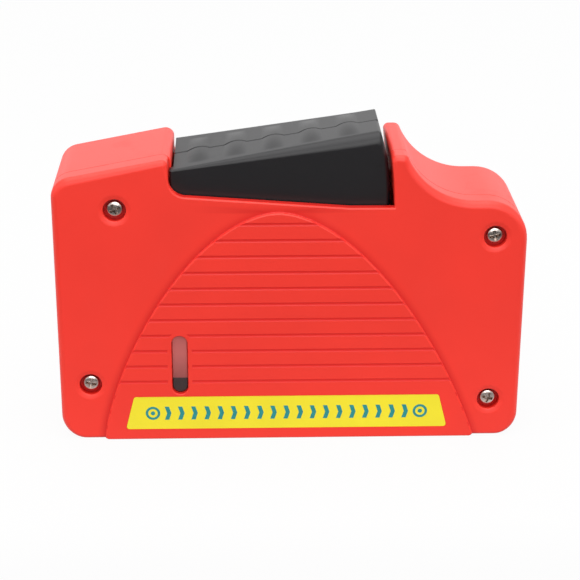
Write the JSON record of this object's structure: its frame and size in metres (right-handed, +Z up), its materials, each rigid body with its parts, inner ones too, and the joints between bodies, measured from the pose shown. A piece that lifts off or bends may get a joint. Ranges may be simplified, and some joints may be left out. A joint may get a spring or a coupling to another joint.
{
  "type": "fibre optic cleaning cassette",
  "caption": "Hand-held fibre optic connector cleaner with a press lever that winds cleaning tape past a shuttered window in the base.",
  "frame": {"origin": "middle of the overall box, on the base face", "axes": "+X along the case towards the fin behind the lever, +Y into the depth from the ribbed front to the back, +Z up"},
  "size_m": [0.12, 0.0308, 0.0824],
  "materials": {
    "case_red": "satin moulded red plastic with a fine spark-eroded grain",
    "lever_black": "satin black moulded plastic",
    "label_film": null,
    "clear_lens": "clear moulded plastic",
    "screw_steel": "bright nickel plate",
    "pin_steel": "ground steel",
    "spring_steel": "drawn spring steel",
    "ivory_plastic": "natural acetal",
    "white_plastic": "white moulded plastic",
    "black_plastic": "black moulded plastic",
    "tape_cloth": "lint-free woven cleaning tape",
    "pad_rubber": "soft rubber"
  },
  "bodies": {
    "case": {"front_cover": "case_red", "rear_shell": "case_red", "case_screws": "screw_steel", "window_lens": "clear_lens", "label": "label_film", "lever_pin": "pin_steel", "lever_spring": "spring_steel", "takeup_axle": "pin_steel", "supply_axle": "pin_steel", "supply_brake": "spring_steel", "click_spring": "spring_steel", "cleaning_tape": "tape_cloth", "guide_pin_left": "pin_steel", "guide_pin_right": "pin_steel", "cleaning_pad": "pad_rubber", "pad_holder": "white_plastic", "slot_plate": "black_plastic", "link_pin": "pin_steel"},
    "lever": {"lever_front_half": "lever_black", "lever_rear_half": "lever_black", "pawl_pin": "pin_steel"},
    "pawl": {"drive_pawl": "ivory_plastic"},
    "takeup": {"ratchet_wheel": "ivory_plastic", "takeup_reel": "white_plastic", "takeup_tape": "tape_cloth"},
    "supply": {"supply_reel": "black_plastic", "supply_tape": "tape_cloth"},
    "link": {"shutter_link": "ivory_plastic"},
    "shutter_slide": {"shutter": "black_plastic"}
  },
  "joints": [
    {"name": "lever_hinge", "type": "hinge", "parent": "case", "child": "lever", "pos_m": [-0.026, 0.0004, 0.063], "axis": [0, 1, 0], "range_deg": [0, 9], "stiffness_Nm_per_rad": 0.5, "springref_deg": -17.19, "deforming": ["lever_spring"]},
    {"name": "pawl_hinge", "type": "hinge", "parent": "lever", "child": "pawl", "pos_m": [0.016, 0.0004, 0.056], "axis": [0, 1, 0], "range_deg": [-13.3, 0]},
    {"name": "takeup_spin", "type": "hinge", "parent": "case", "child": "takeup", "pos_m": [0.029, 0.0004, 0.032], "axis": [0, -1, 0], "range_deg": [0, 36.1]},
    {"name": "supply_spin", "type": "hinge", "parent": "case", "child": "supply", "pos_m": [-0.0287, 0.0004, 0.034], "axis": [0, -1, 0], "range_deg": [0, 23.4]},
    {"name": "link_hinge", "type": "hinge", "parent": "case", "child": "link", "pos_m": [0, 0.0004, 0.05], "axis": [0, 1, 0], "range_deg": [0, 28.5]},
    {"name": "shutter_travel", "type": "slide", "parent": "case", "child": "shutter_slide", "axis": [-1, 0, 0], "range_m": [0, 0.0219]}
  ],
  "couplings": [
    {"joint": "pawl_hinge", "follows": "lever_hinge", "ratio": -1.467},
    {"joint": "takeup_spin", "follows": "lever_hinge", "ratio": 4},
    {"joint": "supply_spin", "follows": "lever_hinge", "ratio": 2.588},
    {"joint": "link_hinge", "follows": "lever_hinge", "ratio": 3.1556},
    {"joint": "shutter_travel", "follows": "lever_hinge", "m_per_rad": 0.139}
  ]
}
